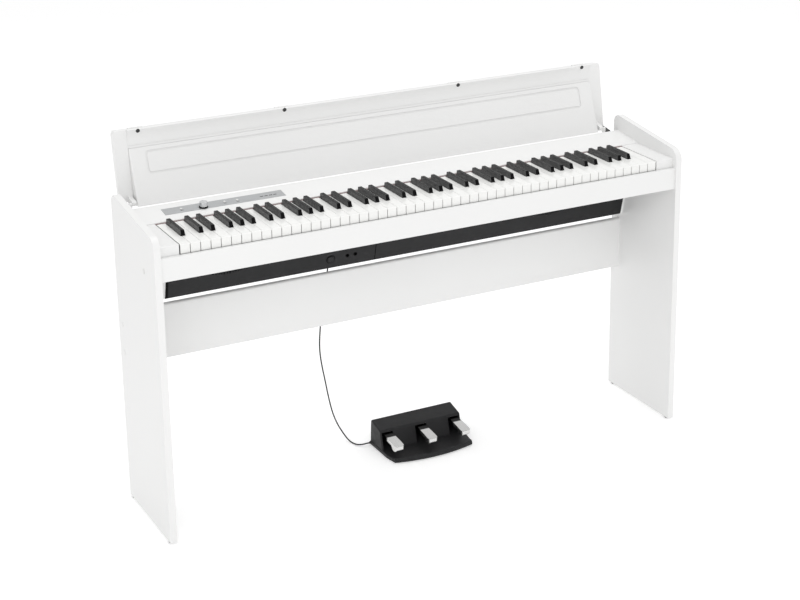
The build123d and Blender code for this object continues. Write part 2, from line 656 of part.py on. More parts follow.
def lid_music_panel():
    """The thin inner panel that holds the sheet music, with its long rectangular groove."""
    (s0, t0), (s1, t1) = MUSIC_START, MUSIC_END
    back = 33.0
    solid = lid_prism([(s0, t0), (s1, t1), (s1, back), (s0, back)], -MUSIC_HALF, MUSIC_HALF,
                      [1.2, 0.8, 0, 0])
    ends = [e for face in solid.faces().filter_by(Axis.X) for e in face.edges()]
    along = Vector(0, *lid_yz(s1, t1)) - Vector(0, *lid_yz(s0, t0))
    face_edges = [e for e in ends if (e.tangent_at(0).cross(along.normalized())).length < 0.01]
    solid = fillet(face_edges, 2.5)
    slope = (t1 - t0) / (s1 - s0)
    wall = 3.0
    hollow = lid_prism(
        [(s0 + wall, t0 + wall * 1.6), (s1 - 16.0, t0 + (s1 - 16.0 - s0) * slope + wall),
         (s1 - 16.0, back + 1), (s0 + wall, back + 1)], -MUSIC_HALF + wall, MUSIC_HALF - wall)
    panel = solid - hollow
    groove = groove_ring(577.0, 60.5, 113.0, slope)
    return panel - groove


def groove_ring(half, s_low, s_high, slope):
    """A rectangular groove, 4.4 mm wide and 2.2 mm deep, in the face of the music panel."""
    (s0, t0) = MUSIC_START
    lean = math.radians(LID_LEAN) + math.atan(slope)
    s_mid = (s_low + s_high) / 2
    y, z = lid_yz(s_mid, t0 + (s_mid - s0) * slope)
    face = Plane(origin=(0, y, z), x_dir=(1, 0, 0), z_dir=(0, -math.cos(lean), math.sin(lean)))
    height = (s_high - s_low) / math.cos(math.atan(slope))
    outer = RectangleRounded(2 * half, height, 9.0)
    inner = RectangleRounded(2 * half - 8.8, height - 8.8, 5.0)
    return face * extrude(Pos(0, 0, -2.2) * (outer - inner), amount=4.0)


def lid_caps():
    """Small black caps over the screws of the fold hinges, on the lip's face."""
    return [cap_place(x) * Cylinder(4.6, CAP_HEIGHT) for x in FOLD_STATIONS]


def lid_flap():
    """The front section of the cover, folded back, with the lip that closes over the key slip."""
    skin = 2 * FOLD[1] - SKIN
    thick = SKIN - BOARD_FACE
    s_near, s_far = folded(FOLD[0] + 0.3, 0)[0], folded(FLAP_END, 0)[0]
    board = lid_prism(
        [(s_near, skin), (s_near, skin + thick), (s_far, skin + thick), (s_far, skin)],
        -FLAP_HALF, FLAP_HALF, [1.0, 1.0, 0.0, 9.0])
    lip_end = 2 * FOLD[1] - FLAP_LIP_END
    lip = lid_prism(
        [(s_far, skin + 9.5), (s_far + FLAP_LIP, skin + 9.5), (s_far + FLAP_LIP, lip_end),
         (s_far, lip_end)], -FLAP_LIP_HALF, FLAP_LIP_HALF, [0, 0, LIP_ROUND, LIP_ROUND])
    flap = board + lip
    for x in FOLD_STATIONS:
        flap -= fold_notch(x)
        flap -= fold_leaf(x, LEAF_START, FOLD[0] - 1.8, skin - 0.2, skin + 1.6)
    return flap


def pivot_bracket():
    """The right-hand bracket on the rear wall, with the pin that the cover turns on."""
    y, z = LID_PIVOT
    plate = prism([(PANEL_DEPTH, z - 24), (PANEL_DEPTH + 5, z - 24), (y + 4, z - 3), (y + 4, z + 3.5),
                   (y - 4, z + 3.5), (y - 4, z - 5), (PANEL_DEPTH, z - 8)],
                  ARM_X1 + 0.6, BRACKET_X1, [0, 1, 1, 3.4, 3.4, 0, 0])
    foot = box(ARM_X0 - 4, BRACKET_X1, PANEL_DEPTH, PANEL_DEPTH + 2.5, z - 38, z - 12)
    return plate + foot + rod_x(PIVOT_PIN, ARM_X0, ARM_X1 + 1, y, z)


def lid_stop():
    """The right-hand stop that the open cover leans on."""
    top = [lid_yz(1.4, BOARD_FACE + 1), lid_yz(1.4, SKIN - 1)]
    low = top[1][1] - 9.0
    outline = [(PANEL_DEPTH, low), (PANEL_DEPTH, low + 6.0), *top, (top[1][0], low + 3.0)]
    stop = prism(outline, 637.5, 649.0, [0, 0, 0.5, 0.5, 2.0])
    return stop


# ---------------------------------------------------------------- pedal unit
def pedal_x(number):
    return PEDAL_MIDDLE + PEDAL_SPACING * number


APRON_TOP = 12.4
AXLE_REACH = 107.0
GLAND_RADIUS = 3.9


def pedal_base():
    """The floor pan: flat floor, low front rim that is curved in plan, and axle cheeks."""
    x0, x1 = PEDAL_MIDDLE - UNIT_HALF, PEDAL_MIDDLE + UNIT_HALF
    front = ThreePointArc((x0 + 6, UNIT_FRONT + 16), (PEDAL_MIDDLE, UNIT_FRONT),
                          (x1 - 6, UNIT_FRONT + 16))
    sides = Polyline((x1 - 6, UNIT_FRONT + 16), (x1, 150), (x1, UNIT_REAR - 1), (x0, UNIT_REAR - 1),
                     (x0, 150), (x0 + 6, UNIT_FRONT + 16))
    plan = make_face(front + sides)
    pan = extrude(Pos(0, 0, 2.0) * plan, amount=8.0)
    pan = fillet(pan.edges().group_by(Axis.Z)[-1], 2.0)
    rim = extrude(Pos(0, 0, 2.0) * plan, amount=APRON_TOP - 2.0, taper=8)
    inner = extrude(Pos(0, 7, 4.0) * plan, amount=60.0)
    rim = rim - inner - box(x0 - 5, x1 + 5, 128, UNIT_REAR + 5, 0, 80)
    pan += rim
    y, z = PEDAL_PIVOT
    for reach in (-AXLE_REACH + 3, -PEDAL_SPACING / 2, PEDAL_SPACING / 2, AXLE_REACH - 3):
        x = PEDAL_MIDDLE + reach
        pan += prism([(y - 14, 8), (y + 14, 8), (y + 6, z + 7), (y - 6, z + 7)], x - 3, x + 3)
    pan -= rod_x(PEDAL_AXLE_RADIUS, x0, x1, y, z)
    pan -= cord_hole()
    return pan


COVER_FOOT = 176.0
COVER_FRONT_TOP = (188.0, 57.0)
COVER_REAR_TOP = (239.0, 69.0)


def cover_outline(inset):
    """The section of the upper cover: upright rear, sloping top and steep front."""
    return [
        (UNIT_REAR - inset, 10.0), (COVER_REAR_TOP[0] - inset, COVER_REAR_TOP[1] - inset),
        (COVER_FRONT_TOP[0] + inset, COVER_FRONT_TOP[1] - inset), (COVER_FOOT + inset, 10.0),
    ]


def pedal_cover():
    """The black cover over the axle, open at the bottom and slotted for the three pedals."""
    x0, x1 = PEDAL_MIDDLE - UNIT_HALF + 1.5, PEDAL_MIDDLE + UNIT_HALF - 1.5
    shell = prism(cover_outline(0.0), x0, x1, [0, 5.0, 6.0, 0])
    ends = shell.faces().filter_by(Axis.X)
    shell = fillet([e for f in ends for e in f.edges() if e.center().Z > 20], 3.5)
    shell -= prism(cover_outline(3.0), x0 + 3, x1 - 3, [0, 3.0, 3.0, 0]) + box(
        x0 + 3, x1 - 3, COVER_FOOT + 3, UNIT_REAR - 3, 5.0, 12.0)
    for number in (-1, 0, 1):
        x = pedal_x(number)
        shell -= box(x - 15.5, x + 15.5, 150, 196, 9.0, 51.5)
    return shell - cord_hole()


def cord_hole():
    """The notch in the left wall for the cord's gland."""
    x0 = PEDAL_MIDDLE - UNIT_HALF
    return rod_x(GLAND_RADIUS, x0 - 2, x0 + 8, *GLAND_AT)


def pedal(number):
    """One pedal: hub on the axle, arm, and a rounded tongue."""
    x = pedal_x(number)
    y, z = PEDAL_PIVOT
    tip = PEDAL_TIP
    arm = prism([(y + 4, z + 6), (y - 30, z + 9), (tip + 26, z + 5), (tip + 1, z + 1),
                 (tip, z - 12), (tip + 15, z - 11.5), (tip + 24, z - 2.5), (y - 30, z - 0.5),
                 (y + 4, z - 6)], x - 13, x + 13, [0, 14, 20, 2, 5, 4, 5, 14, 0])
    outline = FilletPolyline(
        (x - 8, y + 6), (x - 8, y - 22), (x - 11.5, y - 40), (x - 13, tip - 1),
        (x + 13, tip - 1), (x + 11.5, y - 40), (x + 8, y - 22), (x + 8, y + 6),
        radius=[0, 12, 12, 9, 9, 12, 12, 0], close=True)
    tongue = arm & extrude(Pos(0, 0, 5.0) * make_face(outline), amount=60.0)
    hub = rod_x(8.0, x - 8, x + 8, y, z)
    return tongue + hub - rod_x(PEDAL_AXLE_RADIUS + RUNNING_GAP, x - 14, x + 14, y, z)


def pedal_axle():
    x0, x1 = PEDAL_MIDDLE - AXLE_REACH, PEDAL_MIDDLE + AXLE_REACH
    return rod_x(PEDAL_AXLE_RADIUS, x0, x1, *PEDAL_PIVOT)


def pedal_spring(number):
    """A torsion spring round the axle beside the pedal's hub."""
    coil = Helix(pitch=2.3, height=11.5, radius=5.2)
    start = Plane(origin=coil @ 0, z_dir=coil % 0)
    wire = sweep(start * Circle(0.9), path=coil, is_frenet=True)
    x = pedal_x(number) + (9.0 if number < 1 else -20.5)
    return Pos(x, *PEDAL_PIVOT) * Rot(0, 90, 0) * wire


def pedal_feet():
    """Five rubber feet under the floor pan."""
    made = []
    for x, y in ((-92, 228), (92, 228), (-88, 132), (88, 132), (0, 118)):
        made.append(Pos(PEDAL_MIDDLE + x, y, 1.0) * Cylinder(8.0, 2.0))
    return made


# ---------------------------------------------------------------- cord
def corner_radii(route):
    """For each corner of the route: 0.45 of the shorter run over the tangent of half the turn."""
    radii = []
    for a, b, c in zip(route, route[1:], route[2:]):
        before, after = Vector(*b) - Vector(*a), Vector(*c) - Vector(*b)
        turn = math.radians(before.get_angle(after))
        radii.append(0.45 * min(before.length, after.length) / math.tan(turn / 2))
    return radii


def pedal_cord():
    """The free cord from the pedal unit's gland to the plug behind the speaker box."""
    radii = corner_radii(CORD_ROUTE)
    path = FilletPolyline(*CORD_ROUTE, radius=radii)
    start = Plane(origin=path @ 0, z_dir=path % 0)
    tube = sweep(start * Circle(CORD_RADIUS), path=path)
    section = math.pi * CORD_RADIUS ** 2
    print("cord length", round(path.length, 1), "tube check", round(tube.volume / section, 1))
    print("cord radii", [round(r, 1) for r in radii])
    return tube


def pedal_plug():
    """The plug in the rear socket: body with a collar and its metal sleeve."""
    turn = Pos(PEDAL_JACK[0], BOX_REAR, PEDAL_JACK[1]) * Rot(-90, 0, 0)
    body = Pos(0, 0, 0.8 + 6.0) * Cylinder(5.2, 12.0)
    body = fillet(body.edges().group_by(Axis.Z)[-1], 1.0)
    tail = Pos(0, 0, 12.8 + 3.35) * Cone(3.6, 2.4, 6.7)
    sleeve = Pos(0, 0, -4.0) * Cylinder(3.1, 9.6)
    return turn * (body + tail + sleeve)


def cord_gland():
    """The flexible gland in the pedal unit's left wall."""
    x0 = PEDAL_MIDDLE - UNIT_HALF
    boot = Pos(x0 - 2.5, *GLAND_AT) * Rot(0, -90, 0) * Cone(GLAND_RADIUS, 2.4, 5.0)
    return boot + rod_x(GLAND_RADIUS, x0, x0 + 6, *GLAND_AT)


# ---------------------------------------------------------------- writing
def write_keys():
    """Middle octave as single keys, the rest in four groups."""
    groups = {"white_keys_low": [], "white_keys_high": [], "black_keys_low": [], "black_keys_high": []}
    for k in range(WHITE_KEYS):
        side = "low" if k < OCTAVE_START else "high"
        single = OCTAVE_START <= k < OCTAVE_START + 7
        name = white_name(k).lower()
        if single:
            save(f"key_{name}4", white_key(k))
        else:
            groups[f"white_keys_{side}"].append(white_key(k))
        if black_centre(k) is None:
            continue
        if single:
            save(f"key_{name}_sharp4", black_key(k))
        else:
            groups[f"black_keys_{side}"].append(black_key(k))
    for name, keys in groups.items():
        save(name, *keys)


def write_case():
    panel = side_panel()
    save("side_panel_right", panel)
    save("side_panel_left", mirror(panel, about=Plane.YZ))
    save("panel_glides", *panel_glides())
    save("panel_screws", *[s for screw in screws() for s in both_sides(screw)])
    save("rear_board", rear_board())
    save("keybed", keybed())
    save("key_slip", key_slip())
    fillers = [box_end_block(-PANEL_INNER, BOX_LEFT), box_end_block(BOX_RIGHT, PANEL_INNER)]
    save("cheek_blocks", *both_sides(cheek_block()), *fillers)
    save("top_deck", top_deck())
    save("rear_cover", rear_cover())
    save("control_strip", control_strip())
    save("volume_knob", volume_knob())
    for number, place in enumerate(BUTTONS_AT, 1):
        save(f"panel_button_{number}", panel_button(place))
    save("key_felt", key_felt())
    save("key_frame", key_frame())
    save("key_axle", key_axle())
    save("lid_pivot_brackets", *both_sides(pivot_bracket()))
    save("lid_stops", *both_sides(lid_stop()))


def write_speaker_box():
    save("front_strip_left", left_strip())
    save("front_strip_right", front_strip(SEAM_X + 0.3, BOX_RIGHT))
    save("power_button", power_button())
    save("speaker_housing", speaker_housing())
    save("speakers", speaker(-SPEAKER_X), speaker(SPEAKER_X))
    save("circuit_boards", main_board(), panel_board())
    save("jack_sockets", *[jack_socket(place) for place in JACKS_AT],
         rear_socket(*PEDAL_JACK, JACK_RADIUS, 13.0), rear_socket(*POWER_INLET, INLET_RADIUS, 10.0))


def write_cover():
    save("lid_board", lid_board())
    save("lid_music_panel", lid_music_panel())
    save("lid_hinge_leaves", *[lid_hinge_half(x) for x in FOLD_STATIONS])
    save("lid_caps", *lid_caps())
    save("lid_flap", lid_flap())
    save("flap_hinge_leaves", *[flap_hinge_half(x) for x in FOLD_STATIONS])


def write_pedal_unit():
    save("pedal_base", pedal_base())
    save("pedal_cover", pedal_cover())
    for name, number in (("left", -1), ("centre", 0), ("right", 1)):
        save(f"pedal_{name}", pedal(number))
    save("pedal_axle", pedal_axle())
    save("pedal_springs", *[pedal_spring(number) for number in (-1, 0, 1)])
    save("pedal_feet", *pedal_feet())
    save("pedal_cord", pedal_cord())
    save("pedal_plug", pedal_plug())
    save("cord_gland", cord_gland())


os.makedirs("parts", exist_ok=True)
write_case()
write_speaker_box()
write_cover()
write_pedal_unit()
write_keys()
print("middle of the depth", round(Y_MIDDLE, 3))
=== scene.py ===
import json
import math

import bpy
from mathutils import Matrix, Vector


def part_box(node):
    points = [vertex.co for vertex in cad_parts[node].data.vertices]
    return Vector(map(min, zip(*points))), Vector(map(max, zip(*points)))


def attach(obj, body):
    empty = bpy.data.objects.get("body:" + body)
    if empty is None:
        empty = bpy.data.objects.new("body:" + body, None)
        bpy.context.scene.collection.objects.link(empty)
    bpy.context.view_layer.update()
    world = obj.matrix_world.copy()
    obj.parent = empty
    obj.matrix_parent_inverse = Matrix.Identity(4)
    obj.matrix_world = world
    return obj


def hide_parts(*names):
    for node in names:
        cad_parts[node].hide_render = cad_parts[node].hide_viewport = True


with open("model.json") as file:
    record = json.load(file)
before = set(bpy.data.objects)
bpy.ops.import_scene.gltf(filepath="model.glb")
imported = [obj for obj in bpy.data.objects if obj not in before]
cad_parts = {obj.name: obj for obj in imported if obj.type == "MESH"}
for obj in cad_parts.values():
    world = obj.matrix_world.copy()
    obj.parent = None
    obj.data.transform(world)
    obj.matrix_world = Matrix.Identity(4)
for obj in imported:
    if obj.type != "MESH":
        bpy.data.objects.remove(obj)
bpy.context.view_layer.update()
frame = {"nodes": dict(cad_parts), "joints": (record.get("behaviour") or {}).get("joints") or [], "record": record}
NODES = frame["nodes"]
MM = 0.001

# ---------------------------------------------------------------- camera
CAMERA_PLACE = (-1.797, -3.554, 1.942)
CAMERA_YAW, CAMERA_PITCH, CAMERA_ROLL = 27.68, 17.43, 0.62       # degrees
CAMERA_LENS, CAMERA_SENSOR = 79.8, 36.0                           # mm
CAMERA_SHIFT = (-0.032, -0.15)
CAMERA_REACH = 60.0


def make_camera():
    """The view from the front left, from above the keys."""
    data = bpy.data.cameras.new("camera")
    data.lens, data.sensor_width = CAMERA_LENS, CAMERA_SENSOR
    data.shift_x, data.shift_y = CAMERA_SHIFT
    data.clip_end = CAMERA_REACH
    camera = bpy.data.objects.new("camera", data)
    turn = Matrix.Rotation(math.radians(-CAMERA_YAW), 4, "Z")
    tilt = Matrix.Rotation(math.radians(90 - CAMERA_PITCH), 4, "X")
    roll = Matrix.Rotation(math.radians(-CAMERA_ROLL), 4, "Z")
    camera.matrix_world = Matrix.Translation(CAMERA_PLACE) @ turn @ tilt @ roll
    bpy.context.scene.collection.objects.link(camera)
    bpy.context.scene.camera = camera


# ---------------------------------------------------------------- materials
NOISE_ROUGHNESS = 0.55


class Surface:
    """A material whose nodes are added step by step, in the frame's own metres."""

    def __init__(self, name, colour, roughness, metallic=0.0):
        self.material = bpy.data.materials.new(name)
        self.material.use_nodes = True
        self.tree = self.material.node_tree
        self.shader = self.tree.nodes["Principled BSDF"]
        self.shader.inputs["Base Color"].default_value = (*colour, 1.0)
        self.shader.inputs["Roughness"].default_value = roughness
        self.shader.inputs["Metallic"].default_value = metallic
        self.colour, self.roughness = colour, roughness
        self.space = self.node("ShaderNodeTexCoord").outputs["Object"]
        self.height = None

    def node(self, kind, **values):
        made = self.tree.nodes.new(kind)
        for key, value in values.items():
            setattr(made, key, value)
        return made

    def link(self, source, target):
        self.tree.links.new(source, target)

    def set(self, **values):
        """Sets sockets of the shader itself, such as coat_weight."""
        for key, value in values.items():
            self.shader.inputs[key.replace("_", " ").title().replace("Ior", "IOR")].default_value = value
        return self

    def noise(self, size, detail=3.0, stretch=(1.0, 1.0, 1.0)):
        """Noise whose features are about size metres, stretched along the axes."""
        mapping = self.node("ShaderNodeMapping")
        mapping.inputs["Scale"].default_value = tuple(1.0 / (size * s) for s in stretch)
        self.link(self.space, mapping.inputs["Vector"])
        noise = self.node("ShaderNodeTexNoise")
        noise.inputs["Scale"].default_value = 1.0
        noise.inputs["Detail"].default_value = detail
        noise.inputs["Roughness"].default_value = NOISE_ROUGHNESS
        self.link(mapping.outputs["Vector"], noise.inputs["Vector"])
        return noise.outputs["Fac"]

    def spread(self, value, low, high, from_low=0.3, from_high=0.7):
        """The value between from_low and from_high, spread over low to high."""
        ramp = self.node("ShaderNodeMapRange")
        ends = {"From Min": from_low, "From Max": from_high, "To Min": low, "To Max": high}
        for key, number in ends.items():
            ramp.inputs[key].default_value = number
        self.link(value, ramp.inputs["Value"])
        return ramp.outputs["Result"]

    def mix(self, factor, first, second):
        """Mixes two colours by factor; each is a plain colour or a socket."""
        mixer = self.node("ShaderNodeMix", data_type="RGBA")
        self.link(factor, mixer.inputs["Factor"])
        for socket, value in ((mixer.inputs[6], first), (mixer.inputs[7], second)):
            if isinstance(value, bpy.types.NodeSocket):
                self.link(value, socket)
            else:
                socket.default_value = (*value, 1.0)
        return mixer.outputs[2]

    def mottle(self, size, amount, **noise):
        """Varies the base colour's brightness by amount, up and down."""
        dark = tuple(c * (1 - amount) for c in self.colour)
        light = tuple(min(1.0, c * (1 + amount)) for c in self.colour)
        factor = self.spread(self.noise(size, **noise), 0.0, 1.0)
        self.link(self.mix(factor, dark, light), self.shader.inputs["Base Color"])
        return self

    def smudge(self, size, amount, **noise):
        """Varies the roughness by amount, up and down."""
        value = self.spread(self.noise(size, **noise), self.roughness - amount, self.roughness + amount)
        self.link(value, self.shader.inputs["Roughness"])
        return self

    def bump(self, value, depth, strength=1.0):
        """Adds a bump of that depth in metres, on top of any earlier one."""
        bump = self.node("ShaderNodeBump")
        bump.inputs["Distance"].default_value = depth
        bump.inputs["Strength"].default_value = strength
        self.link(value, bump.inputs["Height"])
        if self.height is not None:
            self.link(self.height, bump.inputs["Normal"])
        self.height = bump.outputs["Normal"]
        self.link(self.height, self.shader.inputs["Normal"])
        return self


def laminate(name, colour, roughness):
    """White board: satin, very slightly uneven, with the fine orange peel of its coating."""
    made = Surface(name, colour, roughness)
    made.mottle(0.30, 0.008, detail=1.0).smudge(0.15, 0.02, detail=2.0)
    made.bump(made.noise(0.0022, detail=1.0), 0.00002, 0.25)
    return made.material


def moulded(name, colour, roughness, grain=0.0006, depth=0.00005, mirror=0.5):
    """Moulded plastic with a fine spark-eroded grain; mirror is the shader's specular level."""
    made = Surface(name, colour, roughness)
    made.shader.inputs["Specular IOR Level"].default_value = mirror
    made.mottle(0.03, 0.08).smudge(0.012, 0.05)
    made.bump(made.noise(grain, detail=2.0), depth, 0.6)
    return made.material


def key_plastic(name, colour, roughness):
    """Polished keys, with faint finger wear in the gloss."""
    made = Surface(name, colour, roughness)
    made.mottle(0.05, 0.01).smudge(0.018, 0.05, detail=5.0)
    made.bump(made.noise(0.012, detail=1.0), 0.00006, 0.2)
    return made.material


def ebony(name):
    """Satin black keys: deep black on top, with painted light on their side faces: a greyer grain there stands in
    for the light falling on them.
    """
    made = Surface(name, (0.004, 0.004, 0.0045), 0.26)
    made.shader.inputs["Specular IOR Level"].default_value = 0.08
    facing = made.node("ShaderNodeSeparateXYZ")
    coordinates = made.space.node
    made.link(coordinates.outputs["Normal"], facing.inputs["Vector"])
    upright = made.node("ShaderNodeMath", operation="ABSOLUTE")
    made.link(facing.outputs["X"], upright.inputs[0])
    # painted light: faces that stand sideways get a grey colour for the light on them, the top stays deep black
    painted_side_light = made.spread(upright.outputs["Value"], 0.0, 1.0, 0.55, 0.95)
    grain = made.spread(made.noise(0.0012, stretch=(1.0, 12.0, 1.0), detail=4.0), 0.0, 1.0)
    lit_side_grey = made.mix(grain, (0.045, 0.045, 0.046), (0.13, 0.13, 0.13))
    made.link(made.mix(painted_side_light, made.colour, lit_side_grey), made.shader.inputs["Base Color"])
    made.smudge(0.015, 0.05)
    made.bump(made.noise(0.0012, stretch=(1.0, 12.0, 1.0), detail=2.0), 0.00001, 0.4)
    return made.material


def brushed(name, colour, roughness, along):
    """Metal with a fine grain that is long in one direction."""
    made = Surface(name, colour, roughness, metallic=1.0)
    made.mottle(0.0004, 0.10, stretch=along, detail=4.0)
    made.smudge(0.0005, 0.06, stretch=along)
    made.bump(made.noise(0.0003, stretch=along, detail=2.0), 0.00002, 0.5)
    return made.material


def pedal_plate(name):
    """Polished pedal plate that is blackened where it runs into the housing."""
    black_from, fade = 0.79, 3 * MM          # from the pedal's front to the housing's, and how soft
    made = Surface(name, (0.72, 0.72, 0.71), 0.20, metallic=1.0)
    along = made.node("ShaderNodeSeparateXYZ")
    made.link(made.space, along.inputs["Vector"])
    front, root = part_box("pedal_left")[0][1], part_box("pedal_cover")[0][1]
    start = front + black_from * (root - front)
    dark = made.spread(along.outputs["Y"], 0.0, 1.0, start, start + fade)
    grain = made.spread(made.noise(0.0004, stretch=(1.0, 40.0, 1.0), detail=4.0), 0.0, 1.0)
    bright = made.mix(grain, (0.66, 0.66, 0.65), (0.78, 0.78, 0.77))
    made.link(made.mix(dark, bright, (0.012, 0.012, 0.012)), made.shader.inputs["Base Color"])
    made.smudge(0.004, 0.05, stretch=(1.0, 12.0, 1.0))
    made.bump(made.noise(0.0006, stretch=(1.0, 30.0, 1.0)), 0.00001, 0.4)
    return made.material


def felt(name, colour):
    """Felt: uneven in colour, rough, with a soft sheen."""
    made = Surface(name, colour, 0.95)
    made.mottle(0.0011, 0.35, detail=6.0)
    made.bump(made.noise(0.0005, detail=6.0), 0.0004, 0.9)
    return made.set(sheen_weight=0.6, sheen_roughness=0.5).material


def rubber(name, colour, roughness):
    """Dull rubber or cord jacket with a faint grain."""
    made = Surface(name, colour, roughness)
    made.mottle(0.02, 0.15).smudge(0.006, 0.06)
    made.bump(made.noise(0.0011, detail=4.0), 0.00006, 0.5)
    return made.material


ALONG_X, ALONG_Z = (90.0, 1.0, 1.0), (1.0, 1.0, 30.0)
WHITE = (0.80, 0.80, 0.795)


def make_materials():
    """One material for each of the record's slots."""
    return {
        "white_board": laminate("white_board", WHITE, 0.34),
        "white_case": laminate("white_case", WHITE, 0.30),
        "strip_metal": brushed("strip_metal", (0.50, 0.51, 0.52), 0.34, ALONG_X),
        "knob_metal": brushed("knob_metal", (0.66, 0.67, 0.68), 0.22, ALONG_Z),
        "button_white": moulded("button_white", (0.72, 0.72, 0.71), 0.3),
        "red_felt": felt("red_felt", (0.11, 0.012, 0.013)),
        "white_key": key_plastic("white_key", (0.86, 0.86, 0.845), 0.16),
        "black_key": ebony("black_key"),
        "plated_steel": brushed("plated_steel", (0.52, 0.52, 0.53), 0.32, ALONG_X),
        "charcoal_plastic": moulded("charcoal_plastic", (0.016, 0.016, 0.017), 0.48, mirror=0.25),
        "black_plastic": moulded("black_plastic", (0.028, 0.028, 0.029), 0.42),
        "speaker_black": moulded("speaker_black", (0.020, 0.020, 0.020), 0.7, grain=0.002, depth=0.0002),
        "circuit_green": moulded("circuit_green", (0.02, 0.14, 0.06), 0.4),
        "socket_black": moulded("socket_black", (0.005, 0.005, 0.005), 0.5, mirror=0.06),
        "screw_cap": moulded("screw_cap", (0.74, 0.74, 0.73), 0.35),
        "pedal_metal": pedal_plate("pedal_metal"),
        "black_rubber": rubber("black_rubber", (0.018, 0.018, 0.018), 0.75),
        "cord_black": rubber("cord_black", (0.016, 0.016, 0.017), 0.5),
    }


def dress_nodes(materials):
    """Gives every CAD node the material of its slot."""
    for part in frame["record"]["subparts"]:
        node = NODES[part["node"]]
        for index in range(max(1, len(node.material_slots))):
            if not node.material_slots:
                node.data.materials.append(None)
            node.material_slots[index].material = materials[part["material_slot"]]


# ---------------------------------------------------------------- cord
CORD_DIAMETER = 3.5 * MM
DEPTH_MIDDLE = 184.382               # from the panels' front edges to the origin, in mm
CORD_ROUTE = [                       # X, Y from the panels' front edges, Z, in mm; from gland to plug
    (-71.0, 237.0, 7.0), (-81.0, 237.0, 7.0), (-90.0, 241.0, 5.0), (-97.0, 249.0, 3.2),
    (-101.5, 259.5, 2.4), (-104.3, 272.0, 2.5), (-107.2, 282.0, 5.8), (-112.0, 287.5, 14.0),
    (-120.0, 289.0, 28.0), (-132.5, 288.5, 51.0), (-146.0, 286.5, 86.0), (-156.5, 284.5, 132.0),
    (-164.5, 283.5, 178.0), (-173.0, 283.5, 224.0), (-177.0, 284.0, 266.0), (-172.5, 286.0, 314.0),
    (-163.5, 291.5, 361.0), (-151.0, 298.5, 408.0), (-141.0, 304.5, 446.0), (-137.0, 307.0, 470.5),
    (-136.0, 306.5, 485.0), (-135.5, 301.0, 494.5), (-135.0, 291.5, 500.0), (-135.0, 281.5, 500.0),
]


def make_cord(materials):
    """The pedal unit's cord, from its gland up to the plug behind the speaker box."""
    curve = bpy.data.curves.new("pedal_cord_flex", "CURVE")
    curve.dimensions = "3D"
    spline = curve.splines.new("NURBS")
    spline.points.add(len(CORD_ROUTE) - 1)
    for point, (x, y, z) in zip(spline.points, CORD_ROUTE):
        point.co = (x * MM, (y - DEPTH_MIDDLE) * MM, z * MM, 1.0)
    spline.order_u = 3
    spline.use_endpoint_u = True
    spline.resolution_u = 8
    curve.bevel_depth = CORD_DIAMETER / 2
    curve.bevel_resolution = 4
    curve.use_fill_caps = True
    curve.materials.append(materials["cord_black"])
    cord = bpy.data.objects.new("pedal_cord_flex", curve)
    bpy.context.scene.collection.objects.link(cord)
    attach(cord, "case")
    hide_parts("pedal_cord")
    x, y, z = CORD_ROUTE[0]


# ---------------------------------------------------------------- small fitted pieces
def fit(piece, name, slot, materials, rounding=0.0):
    """Names a piece, gives it its material and fixes it to the case."""
    piece.name = name
    piece.data.materials.append(materials[slot])
    if rounding:
        bevel = piece.modifiers.new("rounding", "BEVEL")
        bevel.width, bevel.segments = rounding, 3
    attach(piece, "case")
    return piece


def disc(name, place, normal, radius, thick, slot, materials):
    """A flat round piece whose base stands on place, square to normal."""
    normal = Vector(normal).normalized()
    bpy.ops.mesh.primitive_cylinder_add(vertices=64, radius=radius, depth=thick)
    piece = bpy.context.object
    piece.rotation_euler = normal.to_track_quat("Z", "Y").to_euler()
    piece.location = Vector(place) + normal * thick / 2
    return fit(piece, name, slot, materials, thick / 4)


def plate(name, place, tilt, size, slot, materials):
    """A thin bar whose base stands on place, turned by tilt about X."""
    bpy.ops.mesh.primitive_cube_add(size=1.0)
    piece = bpy.context.object
    piece.data.transform(Matrix.Diagonal((*size, 1.0)))
    piece.rotation_euler = (tilt, 0.0, 0.0)
    piece.location = Vector(place) + Vector((0, -math.sin(tilt), math.cos(tilt))) * size[2] / 2
    return fit(piece, name, slot, materials)


def joint(name):
    return next(j for j in frame["joints"] if j["name"] == name)


def middle(node):
    """The middle of a node's box."""
    low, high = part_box(node)
    return [(a + b) / 2 for a, b in zip(low, high)]


def on_strip(x, y):
    """The place on the control strip's top face above x and y, with the face's normal."""
    normal = Vector(joint("volume_turn")["axis"]).normalized()
    if normal.z < 0:
        normal.negate()
    strip = NODES["control_strip"]
    reach = max(normal.dot(strip.matrix_world @ v.co) for v in strip.data.vertices)
    return Vector((x, y, (reach - normal.y * y) / normal.z)), normal


PRINT_THICK = 0.08 * MM
RING_RADIUS, RING_THICK = 10.8 * MM, 0.3 * MM
COLLAR_RADIUS, COLLAR_THICK, COLLAR_LIFT = 9.3 * MM, 2.6 * MM, 0.45 * MM
DOT_CIRCLE, DOT_RADIUS = 13.0 * MM, 0.55 * MM
DOTS_EACH_WAY, DOT_STEP = 5, 30                                   # either side of the top, degrees apart
MARK_SIZE, MARK_DROP = (7 * MM, 1 * MM, PRINT_THICK), 7.5 * MM    # under each button
BAR_SIZE, BAR_RISE = (8 * MM, 2.4 * MM, PRINT_THICK), 4 * MM      # a little behind the knob's middle
BAR_START, BAR_PITCH, BAR_COUNT = 22 * MM, 11 * MM, 4             # from the strip's right end


